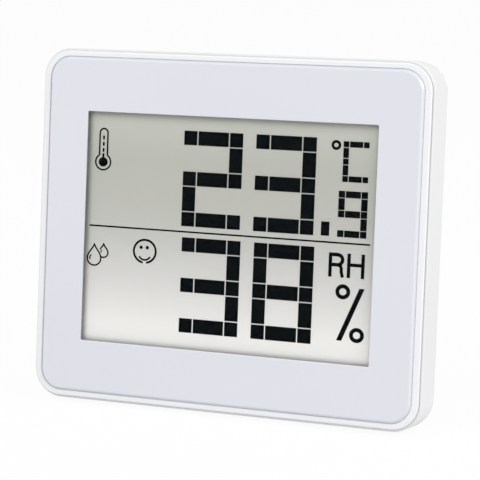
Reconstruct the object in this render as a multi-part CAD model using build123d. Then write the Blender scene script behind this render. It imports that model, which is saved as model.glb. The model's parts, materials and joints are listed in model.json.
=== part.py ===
from build123d import *
from math import asin, atan2, cos, degrees, hypot, radians, sin, tan
import os

os.makedirs("parts", exist_ok=True)

# A desk thermo-hygrometer that leans back on a fold-out leg.
# Every piece is drawn upright: X to the right as seen from the front, Y from the front to the back
# with 0 at the parting plane of bezel and cover, and Z up from the bottom of the cover.
# The whole is then leaned back and set on the floor. All sizes are in millimetres and degrees.

# Stance
lean_angle = 5.7
foot_pad_drop = 0.4

# Window, and the widths of the frame and of the rim round it
window_width = 75.6
window_height = 56.4
window_corner = 0.4
window_drop = 0.2
window_edge_radius = 0.2
frame_side = 10.8
frame_top = 13.1
rim_side = 1.6
rim_top = 1.35

# Housing
front_corner = 6.6
cover_step = 0.6
cover_wall = 1.8
rear_edge_radius = 7.0
cover_lip_radius = 0.5
groove_gap = 0.3
rim_proud = 0.5
rim_edge_radius = 0.4
web_thickness = 1.05
lap_wall = 0.9
lap_depth = 1.7
lap_gap = 0.1
skirt_wall = 1.2

# Fascia, its tape and the clear pane in its window
fascia_corner = 5.4
fascia_thickness = 1.4
fascia_proud = 1.1
fascia_gap = 0.1
bevel_width = 0.9
bevel_depth = 0.7
tape_thickness = 0.15
tape_inset = 1.0
lens_thickness = 0.8
lens_recess = 0.5
lens_overlap = 1.0
lens_gap = 0.1

# Display: two glasses, a film in front and a reflector behind
display_gap = 0.3
film_thickness = 0.15
film_inset = 0.6
glass_thickness = 0.55
glass_margin = 1.4
glass_ledge = 2.8
reflector_thickness = 0.2
glass_clearance = 0.3
clip_width = 5.0
clip_wall = 1.0
clip_reach = 0.9
clip_lip = 0.8
clip_gap = 0.1

# Rubber connector and circuit board
zebra_length = 66.0
zebra_width = 1.4
zebra_height = 2.3
board_side_gap = 4.5
board_top_gap = 3.7
board_trough_gap = 1.5
board_thickness = 1.0
board_corner = 1.0
board_notch_gap = 1.0
board_boss_radius = 2.2
board_pilot_radius = 1.0
board_hole_radius = 1.25
board_screw_rise = 3.4
board_screw_spread = 56.0
boss_gap = 0.3
board_screw_head_radius = 1.9
board_screw_head_height = 1.2
board_screw_shank_radius = 0.9
prop_width = 1.2
prop_height = 7.0
prop_inset = 7.5

# Housing screws
case_screw_rise = 9.3
case_boss_radius = 2.5
case_boss_end = 8.0
case_pilot_radius = 1.3
case_post_radius = 3.2
case_shank_radius = 1.2
case_shank_clearance = 0.2
case_head_radius = 2.1
case_head_height = 1.5
case_recess_clearance = 0.3
case_recess_depth = 3.2
screw_head_round = 1 / 3
screw_cross = 0.5
screw_cross_reach = 0.6
screw_tip_gap = 0.5

# Battery cell, trough and contacts
cell_radius = 5.25
cell_body_length = 43.5
cell_nub_radius = 1.9
cell_nub_length = 1.0
cell_clearance = 0.3
cell_edge_radius = 0.5
trough_wall = 1.2
trough_floor = 0.5
trough_gap = 0.3
contact_thickness = 0.4
contact_width = 8.0
contact_height = 8.6
contact_tail = 2.0
contact_tail_rise = 2.4
contact_gap = 0.1
spring_length = 4.2
spring_turns = 4
spring_radius = 3.0
spring_wire = 0.35

# Battery door
door_thickness = 1.1
door_ledge = 1.3
door_gap = 0.15
door_rise = 1.0
door_cell_gap = 0.25
door_corner = 1.5
door_tab_width = 6.0
door_tab_length = 1.4
door_tab_thickness = 1.0
door_tab_spread = 32.0
door_tab_clearance = 0.1
door_slot_depth = 1.7
door_slot_margin = 0.3
door_tongue_width = 9.0
door_tongue_length = 4.5
door_tongue_slot = 0.8
thumb_radius = 7.0
thumb_depth = 0.8

# Stand leg
leg_width = 28.0
leg_length = 21.4
leg_thickness = 2.2
leg_corner = 3.0
leg_notch_radius = 5.5
leg_notch_depth = 2.4
leg_panel_depth = 0.8
leg_panel_margin = 3.4
leg_panel_hinge_gap = 1.7
leg_inset = 0.3
leg_barrel_radius = 1.7
leg_hinge_rise = 8.6
leg_pin_radius = 1.1
leg_pin_length = 1.5
leg_pin_clearance = 0.1
leg_stop_gap = 0.3
well_gap = 0.4
well_wall = 1.2
well_overcut = 1.0

# Rear buttons and their switches
button_radius = 2.9
button_gap = 0.2
button_proud = 0.5
button_edge_radius = 0.4
button_travel = 0.5
button_flange_radius = 4.0
button_flange_thickness = 0.8
button_flange_gap = 0.3
button_stem_radius = 1.5
unit_from_board_side = 13.5
memory_from_board_side = 24.0
switch_size = 6.0
switch_height = 3.5
plunger_radius = 1.6
plunger_gap = 0.1
plunger_height = 1.1
plunger_sunk = 0.6

# Sensors and small parts on the board, in one row above its lower edge
component_rise = 12.5
vent_length = 16.0
vent_width = 1.4
vent_pitch = 3.0
vent_count = 5
vent_from_board_side = 16.5
humidity_width = 8.0
humidity_height = 10.0
humidity_thickness = 2.2
humidity_window = 1.2
humidity_window_depth = 0.6
thermistor_radius = 0.9
thermistor_standoff = 3.4
thermistor_shift = 6.3
thermistor_lead_radius = 0.25
thermistor_lead_spread = 0.9
chip_radius = 6.0
chip_height = 1.2
chip_x = -4.0
crystal_radius = 1.5
crystal_length = 7.6
crystal_x = 9.0
crystal_shift = 11.5
crystal_lead_radius = 0.2
crystal_lead_spread = 1.0
smd_length = 1.6
smd_width = 0.8
smd_height = 0.6
smd_pitch = 2.6
smd_row_pitch = 1.3
smd_count = 5
smd_x = 7.5
smd_shift = 7.0

# Keyhole for a wall screw
keyhole_radius = 4.0
keyhole_slot_radius = 2.1
keyhole_rise = 6.5
keyhole_shift = 4.8
keyhole_pocket_depth = 3.7
keyhole_pocket_margin = 1.2
keyhole_wall = 1.0

# Moulded foot pads under the cover
foot_pad_x = 34.0
foot_pad_width = 14.0
foot_pad_front = 6.0
foot_pad_length = 2.5

# Sizes that follow from the ones above, seen from the front
fascia_width = window_width + 2 * frame_side
fascia_height = window_height + 2 * frame_top
front_width = fascia_width + 2 * rim_side
front_height = fascia_height + 2 * rim_top
cover_width = front_width + 2 * cover_step
cover_height = front_height + 2 * cover_step
cover_corner = front_corner + cover_step
mid_z = cover_height / 2
window_z = mid_z - window_drop
glass_width = window_width + 2 * glass_margin
glass_height = window_height + 2 * glass_margin
display_bottom = window_z - glass_height / 2
display_top = window_z + glass_height / 2
ledge_top = display_top + glass_ledge

# The stack of the front, from the fascia back to the board
fascia_rear = fascia_thickness - fascia_proud
web_front = fascia_rear + tape_thickness
web_rear = web_front + web_thickness
lap_end = groove_gap + lap_depth - lap_gap
lens_front = lens_recess - fascia_proud
lens_rear = lens_front + lens_thickness
film_front = fascia_rear + display_gap
front_glass_front = film_front + film_thickness
rear_glass_front = front_glass_front + glass_thickness
reflector_front = rear_glass_front + glass_thickness
reflector_rear = reflector_front + reflector_thickness
board_front = rear_glass_front + zebra_height
board_rear = board_front + board_thickness

# The cell lies behind the display, and the depth of the cover follows from it
trough_front = reflector_rear + trough_gap
trough_radius = cell_radius + cell_clearance
cell_y = trough_front + trough_floor + trough_radius
door_inner = cell_y + cell_radius + door_cell_gap
cover_depth = door_inner + door_thickness
inner_rear = cover_depth - cover_wall

# Leg and its well
leg_axis_y = cover_depth - leg_inset - leg_barrel_radius
leg_axis_z = leg_hinge_rise
leg_rear = cover_depth - leg_inset
leg_front = leg_rear - leg_thickness
leg_tip_z = leg_axis_z + leg_length
well_half = leg_width / 2 + well_gap
well_top = leg_tip_z + well_gap
well_floor = leg_front - well_gap
hinge_floor = leg_axis_y - leg_barrel_radius - well_gap
hinge_top = leg_axis_z + leg_barrel_radius + well_gap

# Door and trough stand above the well
tab_low = well_top + door_rise + door_slot_margin
door_bottom = tab_low + door_tab_length
trough_bottom = door_bottom + door_ledge
trough_mid_z = trough_bottom + trough_radius
trough_top = trough_mid_z + trough_radius
door_top = trough_top + door_ledge
cell_length = cell_body_length + cell_nub_length
trough_length = cell_length + spring_length + 2 * contact_thickness + 2 * contact_gap
negative_x = -trough_length / 2 + contact_gap
positive_x = trough_length / 2 - contact_gap - contact_thickness
cell_x = positive_x - cell_length
door_width = trough_length + 2 * door_ledge
tab_rear = door_inner - door_tab_clearance
tab_spots = (-door_tab_spread / 2, door_tab_spread / 2)
door_axis_y = cover_depth + door_gap
door_axis_z = door_bottom

# Board, its screws and what is lined up on it
board_bottom = trough_top + trough_wall + board_trough_gap
board_top = cover_height - cover_wall - board_top_gap
board_width = cover_width - 2 * (cover_wall + board_side_gap)
component_z = board_bottom + component_rise
keyhole_z = component_z + keyhole_shift
opening_half = glass_width / 2 + glass_clearance
opening_low = display_bottom - glass_clearance
opening_high = ledge_top + glass_clearance
case_x = opening_half + boss_gap + case_boss_radius
case_top_z = cover_height - case_screw_rise
case_spots = [(x, z) for x in (-case_x, case_x) for z in (case_screw_rise, case_top_z)]
board_screw_x = opening_half + boss_gap + board_boss_radius
board_screw_top = opening_high + boss_gap + board_boss_radius
board_spots = [
    (side * x, z)
    for side in (-1, 1)
    for x, z in ((board_screw_x, board_bottom + board_screw_rise), (board_screw_spread / 2, board_screw_top))
]
case_recess_floor = cover_depth - case_recess_depth
plunger_top = board_rear + switch_height + plunger_height
button_top = cover_depth + button_proud
button_flange_rear = inner_rear - button_flange_gap
button_flange_front = button_flange_rear - button_flange_thickness
button_unit_x = board_width / 2 - unit_from_board_side
button_memory_x = board_width / 2 - memory_from_board_side
button_spots = {"unit": button_unit_x, "memory": button_memory_x}
vent_x = vent_from_board_side - board_width / 2
clip_spots = (window_z - glass_height / 4, window_z + glass_height / 4)

# The floor, as a line in the upright drawing: it starts under the front of the foot pads and rises
# towards the back by the lean angle, because the body leans and the floor doesn't.
lean = radians(lean_angle)
floor_height = foot_pad_drop * cos(lean) + foot_pad_front * sin(lean)

# The leg opens until the round end of its foot meets the floor.
leg_round = leg_thickness / 2
leg_offset = leg_barrel_radius - leg_round
leg_reach = leg_length - leg_round
axis_height = leg_axis_z * cos(lean) - leg_axis_y * sin(lean) + floor_height
leg_dip = asin((axis_height - leg_round) / hypot(leg_reach, leg_offset)) - atan2(leg_offset, leg_reach)
fold_angle = 90 - lean_angle + degrees(leg_dip)
leg_slope = leg_dip - lean
leg_under = leg_barrel_radius / cos(leg_slope) + (cover_depth - leg_axis_y) * tan(leg_slope)
well_bottom = leg_axis_z - leg_under - leg_stop_gap


def panel(width, height, corner, x=0.0, z=mid_z):
    """Rounded rectangle, drawn as it is seen from the front, about x and z."""
    return Pos(x, z) * RectangleRounded(width, height, corner)


def slab(sketch, front, rear):
    """A front-view sketch given thickness between two depths."""
    return extrude(Plane.XZ.offset(-front) * sketch, -(rear - front))


def block(x0, x1, y0, y1, z0, z1):
    """Box between opposite corners."""
    return Pos((x0 + x1) / 2, (y0 + y1) / 2, (z0 + z1) / 2) * Box(x1 - x0, y1 - y0, z1 - z0)


def rod_y(radius, x, z, y0, y1):
    """Cylinder along the depth."""
    shape = Cylinder(radius, y1 - y0, align=(Align.CENTER, Align.CENTER, Align.MIN))
    return Pos(x, y0, z) * Rot(-90, 0, 0) * shape


def rod_x(radius, y, z, x0, x1):
    """Cylinder from left to right."""
    shape = Cylinder(radius, x1 - x0, align=(Align.CENTER, Align.CENTER, Align.MIN))
    return Pos(x0, y, z) * Rot(0, 90, 0) * shape


def edges_at(shape, y):
    """Edges that lie in the plane at one depth."""
    return shape.edges().filter_by_position(Axis.Y, y, y)


def make_front_bezel():
    """Frame with the rim, the pocket for the fascia, the display opening, bosses and display clips."""
    rim = slab(panel(front_width, front_height, front_corner), -rim_proud, 0)
    rim = fillet(edges_at(rim, -rim_proud), rim_edge_radius)
    lap = lap_wall + lap_gap
    lap_panel = panel(cover_width - 2 * lap, cover_height - 2 * lap, cover_corner - lap)
    hollow = lap + skirt_wall
    hollow_panel = panel(cover_width - 2 * hollow, cover_height - 2 * hollow, cover_corner - hollow)
    bezel = rim + slab(lap_panel, 0, lap_end) - slab(hollow_panel, web_rear, lap_end)
    pocket = panel(fascia_width + 2 * fascia_gap, fascia_height + 2 * fascia_gap, fascia_corner + fascia_gap)
    bezel -= slab(pocket, -rim_proud, web_front)
    for x, z in case_spots:
        bezel += rod_y(case_boss_radius, x, z, web_rear, case_boss_end)
        bezel -= rod_y(case_pilot_radius, x, z, web_rear, case_boss_end)
    for x, z in board_spots:
        bezel += rod_y(board_boss_radius, x, z, web_rear, board_front)
        bezel -= rod_y(board_pilot_radius, x, z, web_rear, board_front)
    bezel -= block(-opening_half, opening_half, web_front, web_rear, opening_low, opening_high)
    for z in clip_spots:
        for side in (-1, 1):
            bezel += display_clip(side * opening_half, z, side)
    return bezel


def display_clip(x, z, side):
    """Hook beside the display opening that holds the glass from behind."""
    lip_front = reflector_rear + clip_gap
    lip_rear = lip_front + clip_lip
    outer = x + side * clip_wall
    inner = x - side * clip_reach
    z0 = z - clip_width / 2
    post = block(min(x, outer), max(x, outer), web_rear, lip_rear, z0, z0 + clip_width)
    return post + block(min(inner, outer), max(inner, outer), lip_front, lip_rear, z0, z0 + clip_width)


def make_fascia_panel():
    """Plate with a bevelled edge and a rebated window. The window's edge and the bevel's ridge are soft."""
    plate = slab(panel(fascia_width, fascia_height, fascia_corner), -fascia_proud, fascia_rear)
    front_face = plate.faces().sort_by(Axis.Y)[0]
    plate = chamfer(front_face.edges(), bevel_depth, bevel_width, reference=front_face)
    plate -= slab(panel(window_width, window_height, window_corner, z=window_z), -fascia_proud, fascia_rear)
    within = window_width / 2 + window_corner
    soft_edges = [e for e in edges_at(plate, -fascia_proud) if abs(e.center().X) < within]
    plate = fillet(soft_edges, window_edge_radius)
    seat = lens_overlap + lens_gap
    rebate = panel(window_width + 2 * seat, window_height + 2 * seat, window_corner + seat, z=window_z)
    return plate - slab(rebate, lens_front, fascia_rear)


def make_fascia_adhesive():
    """Tape ring between the fascia and the web of the bezel."""
    outer = panel(fascia_width - 2 * tape_inset, fascia_height - 2 * tape_inset, fascia_corner - tape_inset)
    ring = slab(outer, fascia_rear, web_front)
    half = opening_half + tape_inset
    low = opening_low - tape_inset
    high = opening_high + tape_inset
    return ring - block(-half, half, fascia_rear, web_front, low, high)


def make_window_lens():
    """Clear pane seated in the rebate of the fascia."""
    width = window_width + 2 * lens_overlap
    height = window_height + 2 * lens_overlap
    return slab(panel(width, height, window_corner + lens_overlap, z=window_z), lens_front, lens_rear)


def display_layer(inset, front, thickness, extra=0.0):
    """One flat layer of the display, inset from the glass, with an optional ledge at its top."""
    half = glass_width / 2 - inset
    return block(-half, half, front, front + thickness, display_bottom + inset, display_top - inset + extra)


def make_zebra_connector():
    """Rubber strip between the contact ledge of the front glass and the board."""
    z0 = display_top + (glass_ledge - zebra_width) / 2
    half = zebra_length / 2
    return block(-half, half, rear_glass_front, board_front, z0, z0 + zebra_width)


def make_pcb():
    """Board with notches round the upper case bosses and holes for its own screws."""
    board_z = (board_bottom + board_top) / 2
    outline = panel(board_width, board_top - board_bottom, board_corner, z=board_z)
    board = slab(outline, board_front, board_rear)
    notch = case_boss_radius + board_notch_gap
    for side in (-1, 1):
        x0, x1 = sorted((side * board_width / 2, side * (case_x - notch)))
        board -= block(x0, x1, board_front, board_rear, case_top_z - notch, board_top)
    for x, z in board_spots:
        board -= rod_y(board_hole_radius, x, z, board_front, board_rear)
    return board


def make_chip_blob():
    """Resin dome over the bare chip."""
    sphere_radius = (chip_radius**2 + chip_height**2) / (2 * chip_height)
    ball = Pos(chip_x, board_rear + chip_height - sphere_radius, component_z) * Sphere(sphere_radius)
    return ball & rod_y(chip_radius, chip_x, component_z, board_rear, board_rear + chip_height)


def make_clock_crystal():
    """Watch crystal can that lies on the board, with its two leads."""
    y = board_rear + crystal_radius
    crystal_z = component_z + crystal_shift
    can = rod_x(crystal_radius, y, crystal_z, crystal_x, crystal_x + crystal_length)
    lead_x = crystal_x - crystal_radius
    for z in (crystal_z - crystal_lead_spread / 2, crystal_z + crystal_lead_spread / 2):
        can += rod_x(crystal_lead_radius, y, z, lead_x, crystal_x)
        can += rod_y(crystal_lead_radius, lead_x, z, board_rear, y)
    return can


def make_smd_parts():
    """Two rows of chip resistors and capacitors."""
    chips = []
    for row in range(2):
        for n in range(smd_count):
            x0 = smd_x + n * smd_pitch
            z0 = component_z - smd_shift - row * smd_row_pitch
            chips.append(block(x0, x0 + smd_length, board_rear, board_rear + smd_height, z0, z0 + smd_width))
    return chips


def make_humidity_sensor():
    """Cased sensing element on the board, with an open window over the film."""
    x0 = vent_x - humidity_width / 2
    z0 = component_z - humidity_height / 2
    top = board_rear + humidity_thickness
    case = block(x0, x0 + humidity_width, board_rear, top, z0, z0 + humidity_height)
    rim = humidity_window
    floor = top - humidity_window_depth
    return case - block(x0 + rim, x0 + humidity_width - rim, floor, top, z0 + rim, z0 + humidity_height - rim)


def make_thermistor():
    """Resin bead on two leads, held off the board in the moving air."""
    y = board_rear + thermistor_standoff
    thermistor_x = vent_x + thermistor_shift
    bead = Pos(thermistor_x, y, component_z) * Sphere(thermistor_radius)
    for side in (-1, 1):
        x = thermistor_x + side * thermistor_lead_spread / 2
        bead += rod_y(thermistor_lead_radius, x, component_z, board_rear, y)
    return bead


def make_switch_bodies():
    """Two push switches on the board, open at the top for their plungers."""
    half = switch_size / 2
    top = board_rear + switch_height
    bodies = []
    for x in button_spots.values():
        body = block(x - half, x + half, board_rear, top, component_z - half, component_z + half)
        well_depth = plunger_sunk + button_travel + plunger_gap
        body -= rod_y(plunger_radius + plunger_gap, x, component_z, top - well_depth, top)
        bodies.append(body)
    return bodies


def make_plunger(x):
    """Plunger of one switch."""
    return rod_y(plunger_radius, x, component_z, board_rear + switch_height - plunger_sunk, plunger_top)


def make_button(x):
    """Round button with a flange inside the cover and a stem down to the switch."""
    cap = rod_y(button_radius, x, component_z, button_flange_rear, button_top)
    cap = fillet(edges_at(cap, button_top), button_edge_radius)
    flange = rod_y(button_flange_radius, x, component_z, button_flange_front, button_flange_rear)
    return cap + flange + rod_y(button_stem_radius, x, component_z, plunger_top, button_flange_front)


def cover_shell():
    """Tray with a soft rear edge, a small lip radius and a thinner front edge that laps the bezel."""
    outer = slab(panel(cover_width, cover_height, cover_corner), groove_gap, cover_depth)
    outer = fillet(edges_at(outer, cover_depth), rear_edge_radius)
    outer = fillet(edges_at(outer, groove_gap), cover_lip_radius)
    inside = panel(cover_width - 2 * cover_wall, cover_height - 2 * cover_wall, cover_corner - cover_wall)
    hollow = slab(inside, groove_gap, inner_rear)
    hollow = fillet(edges_at(hollow, inner_rear), rear_edge_radius - cover_wall)
    lap = panel(cover_width - 2 * lap_wall, cover_height - 2 * lap_wall, cover_corner - lap_wall)
    return outer, outer - hollow - slab(lap, groove_gap, groove_gap + lap_depth)


def well_space():
    """Room for the folded leg, deeper round its hinge."""
    rear = cover_depth + well_overcut
    deep = block(-well_half, well_half, hinge_floor, rear, well_bottom, hinge_top)
    return deep + block(-well_half, well_half, well_floor, rear, hinge_top, well_top)


def well_walls():
    """Walls round the leg's well."""
    half = well_half + well_wall
    low = well_bottom - well_wall
    deep = block(-half, half, hinge_floor - well_wall, cover_depth, low, hinge_top + well_wall)
    return deep + block(-half, half, well_floor - well_wall, cover_depth, hinge_top, well_top + well_wall)


def trough_space():
    """Room for the cell and its contacts: a half-round bed, open to the rear."""
    half = trough_length / 2
    bed = rod_x(trough_radius, cell_y, trough_mid_z, -half, half)
    return bed + block(-half, half, cell_y, cover_depth, trough_bottom, trough_top)


def trough_walls():
    """Box round the cell's bed."""
    half = trough_length / 2 + trough_wall
    low = trough_bottom - trough_wall
    return block(-half, half, trough_front, cover_depth, low, trough_top + trough_wall)


def keyhole(radius, slot_radius, front, rear):
    """Round entry with a narrower slot above it, between two depths."""
    shape = rod_y(radius, 0, keyhole_z, front, rear)
    shape += rod_y(slot_radius, 0, keyhole_z + keyhole_rise, front, rear)
    return shape + block(-slot_radius, slot_radius, front, rear, keyhole_z, keyhole_z + keyhole_rise)


def foot_pad(x):
    """Pad under the cover, cut level with the floor."""
    half = foot_pad_width / 2
    rear = foot_pad_front + foot_pad_length
    z_front = -foot_pad_drop
    z_rear = z_front + foot_pad_length * tan(lean)
    corners = [(foot_pad_front, z_front), (rear, z_rear), (rear, cover_wall), (foot_pad_front, cover_wall)]
    side_view = Polyline(*corners, close=True)
    face = make_face(Plane.YZ.offset(x - half) * side_view)
    return extrude(face, foot_pad_width)


def make_rear_cover():
    """Cover with the leg's well, the battery trough, screw posts, keyhole, vents and foot pads."""
    outer, cover = cover_shell()
    inside = well_walls() + trough_walls()
    for x, z in case_spots:
        inside += rod_y(case_post_radius, x, z, case_boss_end, cover_depth)
    prop_top = board_bottom + prop_height
    for side in (-1, 1):
        x0 = side * (board_width / 2 - prop_inset) - prop_width / 2
        inside += block(x0, x0 + prop_width, board_rear, cover_depth, board_bottom, prop_top)
    margin = keyhole_pocket_margin
    pocket_front = inner_rear - keyhole_pocket_depth
    wall = margin + keyhole_wall
    inside += keyhole(
        keyhole_radius + wall, keyhole_slot_radius + wall, pocket_front - keyhole_wall, inner_rear
    )
    cover += inside & outer
    cover -= keyhole(keyhole_radius + margin, keyhole_slot_radius + margin, pocket_front, inner_rear)
    cover -= keyhole(keyhole_radius, keyhole_slot_radius, inner_rear, cover_depth)
    cover -= well_space()
    for side in (-1, 1):
        x0, x1 = sorted((side * well_half, side * (well_half + well_wall)))
        cover -= rod_x(leg_pin_radius + leg_pin_clearance, leg_axis_y, leg_axis_z, x0, x1)
    cover -= trough_space()
    door_z = (door_bottom + door_top) / 2
    door_height = door_top - door_bottom
    seat = panel(door_width + 2 * door_gap, door_height + 2 * door_gap, door_corner + door_gap, z=door_z)
    cover -= slab(seat, door_inner, cover_depth)
    cover -= tab_slots()
    cover -= tail_slots()
    cover -= Pos(0, cover_depth + thumb_radius - thumb_depth, door_top) * Sphere(thumb_radius)
    for x, z in case_spots:
        cover -= rod_y(case_shank_radius + case_shank_clearance, x, z, case_boss_end, cover_depth)
        cover -= rod_y(case_head_radius + case_recess_clearance, x, z, case_recess_floor, cover_depth)
    for x in button_spots.values():
        cover -= rod_y(button_radius + button_gap, x, component_z, inner_rear, cover_depth)
    for n in range(vent_count):
        z = component_z + (n - (vent_count - 1) / 2) * vent_pitch
        vent = Pos(vent_x, z) * SlotOverall(vent_length, vent_width)
        cover -= slab(vent, inner_rear, cover_depth)
    for side in (-1, 1):
        cover += foot_pad(side * foot_pad_x)
    return cover


def tab_slots():
    """Slots under the cover's edge for the tabs of the battery door."""
    half = door_tab_width / 2 + door_slot_margin
    low = tab_low - door_slot_margin
    y0 = door_inner - door_slot_depth
    space = [block(x - half, x + half, y0, door_inner, low, trough_bottom) for x in tab_spots]
    return space[0] + space[1]


def tail_slots():
    """Slots in the upper wall of the trough for the tails of the two contacts."""
    gap = contact_gap
    y0 = board_rear - gap
    y1 = board_rear + contact_tail + gap
    z1 = trough_top + trough_wall
    slots = [
        block(x - gap, x + contact_thickness + gap, y0, y1, trough_mid_z, z1)
        for x in (negative_x, positive_x)
    ]
    return slots[0] + slots[1]


def contact_plate(x):
    """Contact plate at one end of the trough, with a tail that reaches up behind the board."""
    z0 = trough_mid_z - contact_height / 2
    y0 = cell_y - contact_width / 2
    plate = block(x, x + contact_thickness, y0, y0 + contact_width, z0, z0 + contact_height)
    plate &= rod_x(trough_radius - contact_gap, cell_y, trough_mid_z, x, x + contact_thickness)
    tail_top = board_bottom + contact_tail_rise
    tail_rear = board_rear + contact_tail
    return plate + block(x, x + contact_thickness, board_rear, tail_rear, trough_mid_z, tail_top)


def make_negative_contact():
    """Plate with the coil spring that pushes the cell."""
    start = negative_x + contact_thickness + spring_wire - contact_gap
    run = spring_length - 2 * spring_wire + contact_gap
    path = Helix(
        pitch=run / spring_turns, height=run, radius=spring_radius,
        center=(start, cell_y, trough_mid_z), direction=(1, 0, 0),
    )
    coil = sweep(Plane(origin=path @ 0, z_dir=path % 0) * Circle(spring_wire), path=path, is_frenet=True)
    return contact_plate(negative_x) + coil


def make_battery_cell():
    """AAA cell with its raised positive end on the right."""
    nub_x = cell_x + cell_body_length
    body = rod_x(cell_radius, cell_y, trough_mid_z, cell_x, nub_x)
    ends = body.edges().filter_by(GeomType.CIRCLE)
    body = fillet(ends, cell_edge_radius)
    return body + rod_x(cell_nub_radius, cell_y, trough_mid_z, nub_x, cell_x + cell_length)


def make_battery_door():
    """Door with two tabs at its lower edge and a springy tongue cut free at its upper edge."""
    door_z = (door_bottom + door_top) / 2
    door = slab(panel(door_width, door_top - door_bottom, door_corner, z=door_z), door_inner, cover_depth)
    tab_front = tab_rear - door_tab_thickness
    for x in tab_spots:
        x0 = x - door_tab_width / 2
        x1 = x0 + door_tab_width
        door += block(x0, x1, tab_front, tab_rear, tab_low, trough_bottom)
        door += block(x0, x1, tab_rear, door_inner, door_bottom, trough_bottom)
    for side in (-1, 1):
        x0, x1 = sorted((side * door_tongue_width / 2, side * (door_tongue_width / 2 + door_tongue_slot)))
        door -= block(x0, x1, door_inner, cover_depth, door_top - door_tongue_length, door_top)
    return door


def make_stand_leg():
    """Leg folded up in its well, with a barrel and two stub pins at its hinge."""
    half = leg_width / 2
    leg = block(-half, half, leg_front, leg_rear, leg_axis_z, leg_tip_z - leg_round)
    leg += rod_x(leg_round, leg_front + leg_round, leg_tip_z - leg_round, -half, half)
    leg += rod_x(leg_barrel_radius, leg_axis_y, leg_axis_z, -half, half)
    low = leg_axis_z - leg_barrel_radius - leg_corner
    outline = panel(leg_width, leg_tip_z - low, leg_corner, z=(leg_tip_z + low) / 2)
    leg &= slab(outline, hinge_floor, leg_rear)
    leg -= rod_y(leg_notch_radius, 0, leg_tip_z + leg_notch_radius - leg_notch_depth, leg_front, leg_rear)
    margin = leg_panel_margin
    panel_low = leg_axis_z + leg_barrel_radius + leg_panel_hinge_gap
    panel_high = leg_tip_z - leg_notch_depth - margin
    leg -= block(-half + margin, half - margin, leg_front, leg_front + leg_panel_depth, panel_low, panel_high)
    return leg + rod_x(leg_pin_radius, leg_axis_y, leg_axis_z, -half - leg_pin_length, half + leg_pin_length)


def screw(x, z, seat, head_radius, head_height, shank_radius):
    """Pan head screw that is driven from behind, with a cross in its head."""
    top = seat + head_height
    head = rod_y(head_radius, x, z, seat, top)
    head = fillet(edges_at(head, top), head_height * screw_head_round)
    arm = head_radius * screw_cross_reach
    for half_x, half_z in ((arm, screw_cross / 2), (screw_cross / 2, arm)):
        head -= block(x - half_x, x + half_x, top - screw_cross, top, z - half_z, z + half_z)
    return head + rod_y(shank_radius, x, z, web_rear + screw_tip_gap, seat)


def open_leg(leg):
    """Turn the folded leg down until its foot meets the floor."""
    return leg.rotate(Axis((0, leg_axis_y, leg_axis_z), (1, 0, 0)), -fold_angle)


nodes = {
    "front_bezel": make_front_bezel(),
    "fascia_panel": make_fascia_panel(),
    "fascia_adhesive": make_fascia_adhesive(),
    "window_lens": make_window_lens(),
    "lcd_front_polarizer": display_layer(film_inset, film_front, film_thickness),
    "lcd_front_glass": display_layer(0, front_glass_front, glass_thickness, glass_ledge),
    "lcd_rear_glass": display_layer(0, rear_glass_front, glass_thickness),
    "lcd_reflector": display_layer(film_inset, reflector_front, reflector_thickness),
    "zebra_connector": make_zebra_connector(),
    "pcb": make_pcb(),
    "chip_blob": make_chip_blob(),
    "clock_crystal": make_clock_crystal(),
    "smd_parts": make_smd_parts(),
    "humidity_sensor": make_humidity_sensor(),
    "thermistor": make_thermistor(),
    "switch_bodies": make_switch_bodies(),
    "rear_cover": make_rear_cover(),
    "battery_cell": make_battery_cell(),
    "negative_contact": make_negative_contact(),
    "positive_contact": contact_plate(positive_x),
    "battery_door": make_battery_door(),
    "stand_leg": open_leg(make_stand_leg()),
    "case_screws": [
        screw(x, z, case_recess_floor, case_head_radius, case_head_height, case_shank_radius)
        for x, z in case_spots
    ],
    "pcb_screws": [
        screw(x, z, board_rear, board_screw_head_radius, board_screw_head_height, board_screw_shank_radius)
        for x, z in board_spots
    ],
}
for name, x in button_spots.items():
    nodes["switch_plunger_" + name] = make_plunger(x)
    nodes["button_" + name] = make_button(x)

# Lean everything back, put the floor at Z = 0 and the middle of the whole at X = 0 and Y = 0.
tilt = Pos(0, 0, floor_height) * Rot(-lean_angle, 0, 0)
solids = {name: shape if isinstance(shape, list) else [shape] for name, shape in nodes.items()}
box = Compound(children=[tilt * s for group in solids.values() for s in group]).bounding_box()
centre_y = (box.min.Y + box.max.Y) / 2
placement = Pos(0, -centre_y, 0) * tilt


def placed(point):
    """Where a point of the upright drawing ends up."""
    return (placement * Pos(*point)).position


for name, shapes in solids.items():
    group = [placement * s for s in shapes]
    result = group[0] if len(group) == 1 else Compound(children=group)
    export_step(result, f"parts/{name}.step")

interfaces = {
    "leg_axis": (0, leg_axis_y, leg_axis_z),
    "door_axis": (0, door_axis_y, door_axis_z),
    "keyhole": (0, cover_depth - cover_wall / 2, keyhole_z),
    "button_unit": (button_unit_x, button_top, component_z),
    "button_memory": (button_memory_x, button_top, component_z),
}
for name, point in interfaces.items():
    print(name, placed(point))
print("leg opens by", round(fold_angle, 2), "degrees, overall size", box.size)
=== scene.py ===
# %% [markdown]
# A desk thermo-hygrometer: a white housing that leans back on a fold-out leg, a glossy front plate
# and a grey segment display behind a clear pane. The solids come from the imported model, which stays
# where it is. This lesson gives every piece its finish, draws the marks on the display, the fine
# lines round the front and the thumb ribs on the door, and sets up the light and the camera.

# %% Load the frame
import json
import math

import bmesh
import bpy
from mathutils import Matrix, Vector

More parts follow.
